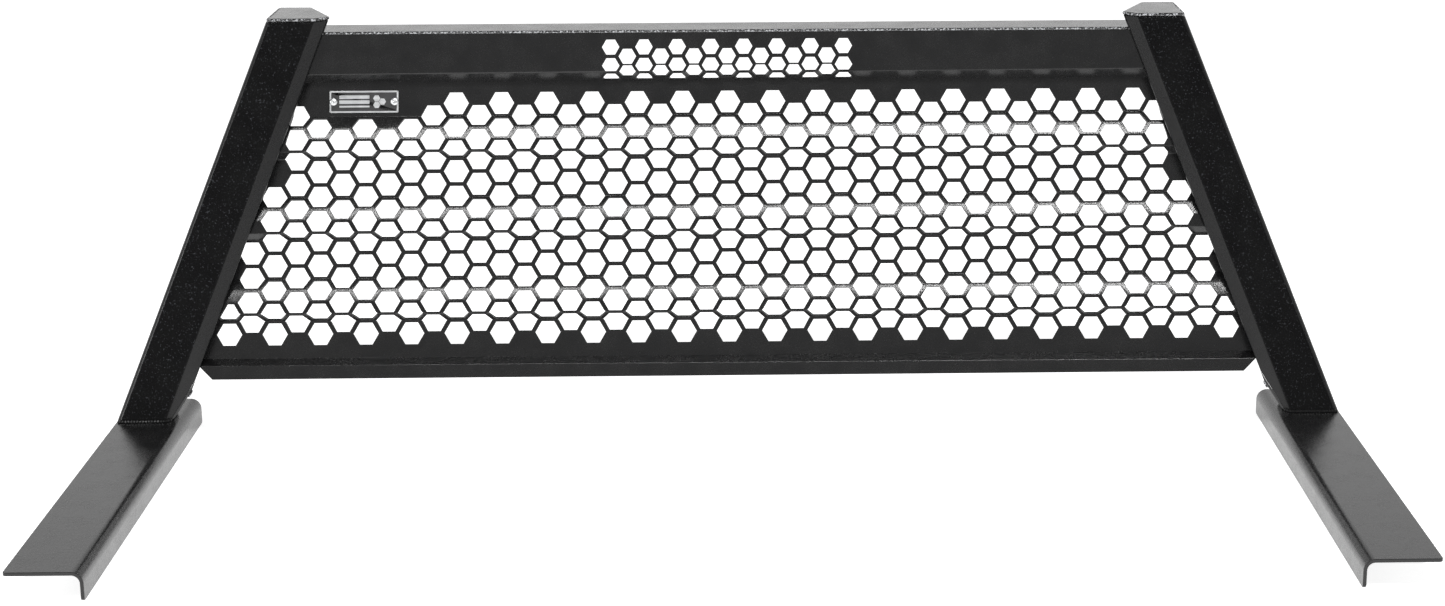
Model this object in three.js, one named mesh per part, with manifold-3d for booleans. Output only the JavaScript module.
// Headache rack: a cab guard that stands on the two side rails of a pickup bed.
// Millimetres, +X to the right, +Y towards the cab, +Z up. Heights in the driving
// dimensions are measured from the top faces of the two foot plates.
import * as THREE from 'three';
import { mergeVertices } from 'three/addons/utils/BufferGeometryUtils.js';
import Module from 'manifold-3d';

const wasm = await Module();
wasm.setup();

const degree = Math.PI / 180;
const gap = 0.3;                      // clearance between pieces that touch

// Whole rack
const halfWidth = 881;                // centre line to the outer edge of a foot
const leanBack = 17 * degree;         // posts and panel lean towards the cab

// Posts: a five-sided folded section, cut level at both ends
const postHeight = 555.5;
const postRun = 215.7;                // how far a post leans inward over its height
const postFace = 70;                  // width of the front face
const postDepth = 114;
const postBackWidth = 48;
const postRidge = { inward: 90, back: 19 };   // the fold that points at the other post
const postWall = 4;
const capThickness = 4.8;
const capInset = 2.4;                 // groove around the cap plate, filled by its weld
const capWeldDrop = 0.8;

// Toe plates close the corner that is trimmed off each post above the foot's bend
const toeStart = 80;                  // inward distance of the trimmed face at the foot
const toeSlope = 0.646;               // inward travel of that face per unit of height
const toeThickness = 3.2;

// Feet: a plate on the bed rail with a lip turned down inside the bed
const footWidth = 98.5;
const footThickness = 4.8;
const footLip = 37.4;
const footBend = 15;                  // outer radius of the bend
const footFront = -614;
const footBack = 118;
const bendSteps = 6;
const baseWeld = 3.6;

// Panel: a punched sheet with three raised ridges and a bottom flange
const sheet = 3.2;
const panelBehindPosts = 40;          // panel face behind the posts' front faces
const firstRowHeight = 429.8;
const rowCount = 21;
const rowPitch = 18.75;
const columnPitch = 33;
const holeAcross = 31.75;
const topMargin = 31;                 // first row to the bend under the rail
const bottomMargin = 35.5;              // last row to the bottom flange
const offsetBend = 61.5 * degree;     // bends that step the rail and the lip forward
const offsetLength = 21.7;
const lipHeight = 19.5;
const lipChamfer = 16.5;
const columnsInRow = (row) => 19 + 0.18 * (row - 2);
const edgeWeb = 4;                    // metal left beside the outermost holes
const ridgeRows = [2, 9, 16];         // row line on which each ridge starts
const ridgeAngles = [30, 18, 4].map((angle) => angle * degree);
const ridgeReturn = Math.asin(ridgeAngles.reduce((sum, angle) => sum + Math.sin(angle), 0));

// Top rail: a front fascia with a punched light window, under a folded top plate
const fasciaHeight = 57.5;
const windowAcross = 22;
const windowColumnPitch = 24.2;
const windowRowPitch = 13.6;
const windowTopRow = 37;              // first window row above the fascia's lower bend
const windowColumns = 7;              // columns of the long rows, either side of centre
const windowRows = 5;
const bendAllowance = 3;
const railDepth = 72;
const railFlange = 20;
const railWeld = 3;

// Nameplate and its blind rivets, in the blank corner of the panel
const plate = { x: -530, above: 3, width: 100, height: 32, thickness: 1.2 };
const blankHoles = [[1, -14], [1, -16], [1, -18], [2, -15], [2, -17]];
const rivetSpacing = 89;
const rivetHole = 2.6;
const rivet = { shank: 2.1, head: 5.6, dome: 1.8, mandrel: 1.3, tail: 3.1, tailLength: 4 };
const rivetSides = 12;

const tanBack = Math.tan(leanBack);
const inwardPerHeight = postRun / postHeight;

// Finishes
const powderCoat = { color: 0x1b1b1c, roughness: 0.55, metalness: 0.1 };
const weldCoat = { color: 0x242425, roughness: 0.45, metalness: 0.1 };
const aluminium = { color: 0xc9cacc, roughness: 0.35, metalness: 0.9 };

const rack = new THREE.Group();

function addMesh(group, name, geometry, finish) {
  const mesh = new THREE.Mesh(geometry, new THREE.MeshStandardMaterial(finish));
  mesh.name = name;
  group.add(mesh);
  return mesh;
}

// Helpers for outlines and solids

const point = (x, y) => new THREE.Vector2(x, y);

// The same outline running anticlockwise
function anticlockwise(points) {
  return THREE.ShapeUtils.area(points) < 0 ? points.slice().reverse() : points.slice();
}

function extrude(points, depth, ...holes) {
  const shape = new THREE.Shape(anticlockwise(points));
  shape.holes = holes.map((hole) => new THREE.Path(anticlockwise(hole).reverse()));
  return new THREE.ExtrudeGeometry(shape, { depth, bevelEnabled: false });
}

// Outline in (x, z), drawn out along Y
function extrudeAlongY(points, yFrom, yTo) {
  return extrude(points, yTo - yFrom).rotateX(Math.PI / 2).translate(0, yTo, 0);
}

// Outline in (y, z), drawn out along X
function extrudeAlongX(points, xFrom, xTo) {
  const turn = new THREE.Matrix4().set(0, 0, 1, xFrom, 1, 0, 0, 0, 0, 1, 0, 0, 0, 0, 0, 1);
  return extrude(points, xTo - xFrom).applyMatrix4(turn);
}

function toManifold(geometry) {
  const bare = geometry.clone();
  bare.deleteAttribute('normal');
  bare.deleteAttribute('uv');
  const merged = mergeVertices(bare, 1e-4);
  return new wasm.Manifold(new wasm.Mesh({
    numProp: 3,
    vertProperties: new Float32Array(merged.attributes.position.array),
    triVerts: new Uint32Array(merged.index.array),
  }));
}

function fromManifold(solid) {
  const mesh = solid.getMesh();
  const geometry = new THREE.BufferGeometry();
  geometry.setAttribute('position', new THREE.BufferAttribute(mesh.vertProperties, 3));
  geometry.setIndex(new THREE.BufferAttribute(mesh.triVerts, 1));
  geometry.computeVertexNormals();
  return geometry;
}

// Post section, in plan: inward from the outer face, back from the front face

const sectionCorners = [
  point(0, postDepth),
  point(0, 0),
  point(postFace, 0),
  point(postRidge.inward, postRidge.back),
  point(postBackWidth, postDepth),
];

// Crossing of the lines p + s * d and q + t * e
function crossing(p, d, q, e) {
  const s = q.clone().sub(p).cross(e) / d.cross(e);
  return p.clone().addScaledVector(d, s);
}

// The section's corners moved towards its inside; openBack keeps the rear line in place
function insetSection(distance, openBack = false) {
  const sides = sectionCorners.map((corner, i) => {
    const along = sectionCorners[(i + 1) % sectionCorners.length].clone().sub(corner).normalize();
    const onBack = i === sectionCorners.length - 1;
    const shift = openBack && onBack ? 0 : distance;
    return { start: corner.clone().addScaledVector(point(-along.y, along.x), shift), along };
  });
  return sides.map((side, i) => {
    const before = sides[(i + sides.length - 1) % sides.length];
    return crossing(before.start, before.along, side.start, side.along);
  });
}

// Inward position of the post's rear inner wall, at a distance behind the front face
function wallInward(back) {
  const share = (back - postRidge.back) / (postDepth - postRidge.back);
  return postRidge.inward + (postBackWidth - postRidge.inward) * share;
}

// Half the clear width between the two posts at a point (y, z)
function halfClear(y, z) {
  const back = y - tanBack * z;
  return halfWidth - wallInward(Math.max(back, postRidge.back)) - inwardPerHeight * z - gap;
}

// Folded sheets: flat strips joined along bend lines that run across the rack

// Walks down a profile. Headings are directions in the (y, z) plane, and the finished
// face of the sheet is on the walker's right-hand side.
function walkProfile(start, legs) {
  const lines = [{ at: start.clone(), flat: 0 }];
  for (const leg of legs) {
    const last = lines[lines.length - 1];
    const along = point(Math.cos(leg.heading), Math.sin(leg.heading));
    last.next = along;
    const at = last.at.clone().addScaledVector(along, leg.length);
    lines.push({ at, flat: last.flat + leg.length, before: along });
  }
  for (const line of lines) {
    const before = line.before ?? line.next;
    const next = line.next ?? line.before;
    const faceBefore = point(before.y, -before.x);
    const faceNext = point(next.y, -next.x);
    line.inner = faceBefore.clone().add(faceNext).divideScalar(1 + faceBefore.dot(faceNext));
  }
  return lines;
}

// Keeps the part of a convex outline where the signed distance is not negative
const touch = 1e-6;
const near = (a, b) => Math.abs(a - b) < touch;

function clip(points, distance) {
  const kept = [];
  points.forEach((p, i) => {
    const q = points[(i + 1) % points.length];
    const [dp, dq] = [distance(p), distance(q)];
    if (dp > -touch) kept.push(p);
    if (Math.abs(dp) > touch && Math.abs(dq) > touch && dp * dq < 0) {
      kept.push(p.clone().lerp(q, dp / (dp - dq)));
    }
  });
  return kept;
}

// The points of a notch from left to right, starting and ending on its bend line
function notch(piece, level) {
  const next = (i) => (i + 1) % piece.length;
  const lineEdge = piece.findIndex((p, i) => near(p.y, level) && near(piece[next(i)].y, level));
  const run = piece.map((_, i) => piece[(lineEdge + 1 + i) % piece.length]);
  return run[0].x < run[run.length - 1].x ? run : run.reverse();
}

// A strip between two bend lines, with the holes that reach a line cut in as notches
function stripOutline(top, bottom, corners, holes) {
  const notches = new Map([[top, []], [bottom, []]]);
  const inside = [];
  for (const hole of holes) {
    const piece = clip(clip(hole, (p) => p.y - top), (p) => bottom - p.y);
    if (THREE.ShapeUtils.area(piece) ** 2 < touch) continue;
    const level = [top, bottom].find((flat) => piece.some((p) => near(p.y, flat)));
    if (level === undefined) inside.push(piece);
    else notches.get(level).push(notch(piece, level));
  }
  const inOrder = (list) => list.sort((a, b) => a[0].x - b[0].x).flat();
  const outline = [corners[0], ...inOrder(notches.get(top)), corners[1],
    corners[2], ...inOrder(notches.get(bottom)).reverse(), corners[3]];
  return { outline, inside };
}

// One closed folded sheet. halfEdge(y, z) is half the width it may have at a point.
function foldedSheet(lines, thickness, halfEdge, holes = [], cornerCut = 0) {
  const positions = [];
  const edgeAt = (line) => {
    const behind = line.at.clone().addScaledVector(line.inner, -thickness);
    return Math.min(halfEdge(line.at.x, line.at.y), halfEdge(behind.x, behind.y));
  };
  const put = (...points) => points.forEach((p) => positions.push(p.x, p.y, p.z));

  for (let i = 0; i + 1 < lines.length; i++) {
    const [upper, lower] = [lines[i], lines[i + 1]];
    const face = point(upper.next.y, -upper.next.x);
    const innerAt = (flat) => {
      if (near(flat, upper.flat)) return upper.inner;
      return near(flat, lower.flat) ? lower.inner : face;
    };
    const place = (p, depth) => {
      const at = upper.at.clone().addScaledVector(upper.next, p.y - upper.flat);
      at.addScaledVector(innerAt(p.y), -depth);
      return new THREE.Vector3(p.x, at.x, at.y);
    };
    const last = i + 2 === lines.length;
    const upperEdge = edgeAt(upper);
    const lowerEdge = last && cornerCut ? upperEdge - cornerCut : edgeAt(lower);
    const corners = [point(-upperEdge, upper.flat), point(upperEdge, upper.flat),
      point(lowerEdge, lower.flat), point(-lowerEdge, lower.flat)];
    const { outline, inside } = stripOutline(upper.flat, lower.flat, corners, holes);
    const contour = anticlockwise(outline);
    const openings = inside.map((hole) => anticlockwise(hole).reverse());

    const all = [contour, ...openings].flat();
    const faces = THREE.ShapeUtils.triangulateShape(contour, openings)
      .map((corner) => corner.map((k) => all[k]));
    const turned = faces.reduce((sum, corner) => sum + THREE.ShapeUtils.area(corner), 0) < 0;
    for (const corner of faces) {
      const triangle = turned ? corner.reverse() : corner;
      put(...triangle.map((p) => place(p, thickness)));
      put(...triangle.reverse().map((p) => place(p, 0)));
    }
    for (const ring of [contour, ...openings]) {
      ring.forEach((a, k) => {
        const b = ring[(k + 1) % ring.length];
        const shared = (flat) => near(a.y, flat) && near(b.y, flat);
        if ((i > 0 && shared(upper.flat)) || (!last && shared(lower.flat))) return;
        const [fa, fb, ba, bb] = [place(a, 0), place(b, 0), place(a, thickness), place(b, thickness)];
        put(fa, fb, bb, fa, bb, ba);
      });
    }
  }
  const geometry = new THREE.BufferGeometry();
  geometry.setAttribute('position', new THREE.Float32BufferAttribute(positions, 3));
  const merged = mergeVertices(geometry, 1e-3);
  merged.computeVertexNormals();
  return merged;
}

function polygonHole(x, flat, radius, sides) {
  return Array.from({ length: sides }, (_, k) => {
    const angle = (k / sides) * 2 * Math.PI;
    return point(x + radius * Math.cos(angle), flat + radius * Math.sin(angle));
  });
}

// A hexagon with two corners on its row line and a flat at the top and the bottom
const hexHole = (x, flat, across) => polygonHole(x, flat, across / Math.sqrt(3), 6);

// Panel

const down = -Math.PI / 2 - leanBack;
const panelNormal = point(-Math.cos(leanBack), Math.sin(leanBack));
const panelDown = point(-Math.sin(leanBack), -Math.cos(leanBack));
const firstRow = point(firstRowHeight * tanBack + panelBehindPosts, firstRowHeight);

function panelLegs() {
  const legs = [{ heading: down, length: topMargin + rowPitch * (ridgeRows[0] - 1) }];
  ridgeRows.forEach((row, i) => {
    for (const angle of [...ridgeAngles, -ridgeReturn]) {
      legs.push({ heading: down - angle, length: rowPitch });
    }
    const ridgeEnd = row + ridgeAngles.length + 1;
    const nextStart = ridgeRows[i + 1];
    const flatRows = (nextStart ?? rowCount) - ridgeEnd;
    const extra = nextStart ? 0 : bottomMargin;
    legs.push({ heading: down, length: flatRows * rowPitch + extra });
  });
  legs.push({ heading: down - offsetBend, length: offsetLength });
  legs.push({ heading: down, length: lipHeight });
  return legs;
}

const panelTop = firstRow.clone().addScaledVector(panelDown, -topMargin);
const panelLines = walkProfile(panelTop, panelLegs());

// Place on the panel profile at a developed distance below its top edge
function panelPointAt(flat) {
  const line = panelLines.findLast((candidate) => candidate.next && candidate.flat <= flat + 1e-6);
  return line.at.clone().addScaledVector(line.next, flat - line.flat);
}

function panelHoles() {
  const holes = [];
  for (let row = 1; row <= rowCount; row++) {
    const flat = topMargin + (row - 1) * rowPitch;
    const reach = Math.floor(columnsInRow(row));
    const clear = [-1, 0, 1].map((k) => {
      const at = panelPointAt(flat + (k * holeAcross) / 2);
      return halfClear(at.x, at.y) - edgeWeb;
    });
    const slope = (clear[2] - clear[0]) / holeAcross;      // the edge runs along the post
    const middle = Math.min(clear[1], (clear[0] + clear[2]) / 2);
    const limit = (y) => middle + slope * (y - flat);
    for (let column = -reach; column <= reach; column++) {
      const onRow = (row + column) % 2 !== 0;
      const blank = blankHoles.some(([r, c]) => r === row && c === column);
      if (!onRow || blank) continue;
      const hole = hexHole(column * columnPitch, flat, holeAcross);
      holes.push(clip(hole, (p) => limit(p.y) - Math.abs(p.x)));
    }
  }
  for (const side of [-1, 1]) {
    const x = plate.x + (side * rivetSpacing) / 2;
    holes.push(polygonHole(x, topMargin - plate.above, rivetHole, rivetSides));
  }
  return holes;
}

const trimmedTop = { ...panelLines[0], at: panelTop.clone().addScaledVector(panelDown, gap), flat: gap };
addMesh(rack, 'perforated_panel',
  foldedSheet([trimmedTop, ...panelLines.slice(1)], sheet, halfClear, panelHoles(), lipChamfer),
  powderCoat);

// Nameplate and rivets

const badge = new THREE.Group();
const badgeAt = firstRow.clone().addScaledVector(panelDown, -plate.above);
badge.position.set(plate.x, badgeAt.x, badgeAt.y);
badge.rotation.x = Math.PI / 2 - leanBack;       // local Z now points out of the panel's face
rack.add(badge);

function rectangle(width, height) {
  return [point(-width / 2, -height / 2), point(width / 2, -height / 2),
    point(width / 2, height / 2), point(-width / 2, height / 2)];
}

function nameplate() {
  const rivetHoles = [-1, 1].map((side) =>
    polygonHole((side * rivetSpacing) / 2, 0, rivetHole, rivetSides));
  return extrude(rectangle(plate.width, plate.height), plate.thickness, ...rivetHoles)
    .translate(0, 0, gap);
}

// A set blind rivet: domed head with a mandrel pit, shank, and the upset tail behind the panel
function rivetSolid() {
  const head = gap + plate.thickness + gap;
  const tail = -sheet - gap;
  const profile = [
    point(0, tail - rivet.tailLength), point(rivet.tail * 0.7, tail - rivet.tailLength),
    point(rivet.tail, tail - rivet.tailLength * 0.5), point(rivet.tail, tail),
    point(rivet.shank, tail), point(rivet.shank, head), point(rivet.head, head),
    point(rivet.head * 0.8, head + rivet.dome * 0.7), point(rivet.mandrel, head + rivet.dome),
    point(rivet.mandrel, head + rivet.dome * 0.5), point(0, head + rivet.dome * 0.5),
  ];
  return new THREE.LatheGeometry(profile, rivetSides).rotateX(Math.PI / 2);
}

addMesh(badge, 'nameplate', nameplate(), aluminium);
for (const [name, side] of [['left_nameplate_rivet', -1], ['right_nameplate_rivet', 1]]) {
  addMesh(badge, name, rivetSolid(), aluminium).position.x = (side * rivetSpacing) / 2;
}

// Top rail

const panelBend = panelTop.clone();
const fasciaBend = panelBend.clone()
  .addScaledVector(panelDown, -offsetLength * Math.cos(offsetBend))
  .addScaledVector(panelNormal, offsetLength * Math.sin(offsetBend));
const fasciaTop = fasciaBend.clone().addScaledVector(panelDown, -fasciaHeight);

function windowHoles() {
  const holes = [];
  const lowest = fasciaHeight + offsetLength - gap - 2;
  for (let row = 0; row < windowRows; row++) {
    const aboveBend = windowTopRow - row * windowRowPitch;
    const flat = fasciaHeight - aboveBend - (aboveBend < 0 ? bendAllowance : 0);
    const reach = row % 2 ? windowColumns - 1 : windowColumns;
    for (let column = -reach; column <= reach; column += 2) {
      const hole = hexHole(column * windowColumnPitch, flat, windowAcross);
      holes.push(clip(hole, (p) => lowest - p.y));
    }
  }
  return holes;
}

const fasciaLines = walkProfile(fasciaTop, [
  { heading: down, length: fasciaHeight },
  { heading: down + offsetBend, length: offsetLength - gap },
]);
addMesh(rack, 'rail_fascia', foldedSheet(fasciaLines, sheet, halfClear, windowHoles()), powderCoat);

const railTop = fasciaTop.y + gap + sheet;
const railFront = fasciaTop.x + railWeld;
const railBack = fasciaTop.x + railDepth;
const topPlateLines = walkProfile(point(railBack, railTop - railFlange), [
  { heading: Math.PI / 2, length: railFlange },
  { heading: Math.PI, length: railBack - railFront },
]);
addMesh(rack, 'rail_top_plate', foldedSheet(topPlateLines, sheet, halfClear), powderCoat);

const railWeldHalf = halfClear(fasciaTop.x, railTop) - gap;
const railWeldOutline = [
  point(fasciaTop.x, fasciaTop.y + gap), point(railFront - gap, fasciaTop.y + gap),
  point(railFront - gap, railTop), point(fasciaTop.x + railWeld * 0.4, railTop),
];
addMesh(rack, 'rail_top_weld', extrudeAlongX(railWeldOutline, -railWeldHalf, railWeldHalf), weldCoat);

// Sides: a post with its cap on a foot, left and right

function buildSide(label, side) {
  const group = new THREE.Group();
  group.position.x = side * halfWidth;
  rack.add(group);
  const across = (points) => points.map((p) => point(-side * p.x, p.y));
  const lean = new THREE.Matrix4().set(
    1, 0, -side * inwardPerHeight, 0, 0, 1, tanBack, 0, 0, 0, 1, 0, 0, 0, 0, 1);
  // A leaning prism on a plan outline, between two heights
  const prism = (points, from, to, ...holes) =>
    extrude(across(points), to - from, ...holes.map(across)).translate(0, 0, from).applyMatrix4(lean);
  const add = (piece, geometry, finish) => addMesh(group, `${label}_${piece}`, geometry, finish);

  const shellTop = postHeight - capThickness - gap;
  const inner = insetSection(postWall, true);
  const wallLoop = [...sectionCorners, ...inner.slice().reverse()];
  // Slanting slab beside the trimmed corner, between two inward distances
  const toeSlab = (from, to) => extrudeAlongY(across([
    point(from, 0), point(to, 0),
    point(to + toeSlope * postHeight, postHeight), point(from + toeSlope * postHeight, postHeight),
  ]), -postDepth, 3 * postDepth);
  const toeSlant = Math.hypot(1, toeSlope);
  const toeInner = toeStart - toeThickness * toeSlant;
  const shell = toManifold(prism(wallLoop, gap, shellTop));
  const trim = toManifold(toeSlab(toeInner - gap * toeSlant, 4 * postFace));
  add('post_shell', fromManifold(shell.subtract(trim)), powderCoat);

  const fullPost = toManifold(prism(sectionCorners, gap, shellTop));
  const toe = fullPost.intersect(toManifold(toeSlab(toeInner, toeStart)));
  add('toe_plate', fromManifold(toe), powderCoat);

  const backOuter = inner[0].x + gap;
  const backInner = inner[4].x - gap;
  const backSlope = wallInward(postDepth - sheet) - wallInward(postDepth);
  const backPlate = [point(backOuter, postDepth), point(backInner, postDepth),
    point(backInner + backSlope, postDepth - sheet), point(backOuter, postDepth - sheet)];
  add('post_back_plate', prism(backPlate, gap, shellTop), powderCoat);

  const capBase = postHeight - capThickness;
  add('post_cap', prism(insetSection(capInset + gap), capBase, postHeight), powderCoat);
  add('cap_weld', prism(sectionCorners, capBase, postHeight - capWeldDrop, insetSection(capInset)),
    weldCoat);

  const bendAt = point(footWidth - footBend, -footBend);
  const arc = (radius) => Array.from({ length: bendSteps + 1 }, (_, k) => {
    const angle = (k / bendSteps) * (Math.PI / 2);
    return point(bendAt.x + radius * Math.sin(angle), bendAt.y + radius * Math.cos(angle));
  });
  const footOutline = [point(0, -footThickness), point(0, 0), ...arc(footBend),
    point(footWidth, -footLip), point(footWidth - footThickness, -footLip),
    ...arc(footBend - footThickness).reverse()];
  add('foot', extrudeAlongY(across(footOutline), footFront, footBack), powderCoat);

  const xEnds = [0, postFace].map((inward) => -side * inward).sort((a, b) => a - b);
  const frontWeld = [point(-gap - baseWeld, gap), point(-gap, gap), point(-gap, gap + baseWeld)];
  add('front_base_weld', extrudeAlongX(frontWeld, xEnds[0], xEnds[1]), weldCoat);
  const rearEnds = [0, postBackWidth].map((inward) => -side * inward).sort((a, b) => a - b);
  const rear = postDepth + gap + tanBack * gap;
  const rearTop = gap + baseWeld - 1;
  const rearWeld = [point(rear, gap), point(rear + baseWeld - 1, gap),
    point(rear + tanBack * (rearTop - gap), rearTop)];
  add('rear_base_weld', extrudeAlongX(rearWeld, rearEnds[0], rearEnds[1]), weldCoat);
}

buildSide('left', -1);
buildSide('right', 1);

// The origin is below the middle of the rack, level with the lower edges of the lips
rack.updateMatrixWorld(true);
const bounds = new THREE.Box3().setFromObject(rack, true);
rack.position.set(0, -(bounds.min.y + bounds.max.y) / 2, -bounds.min.z);

export default rack;
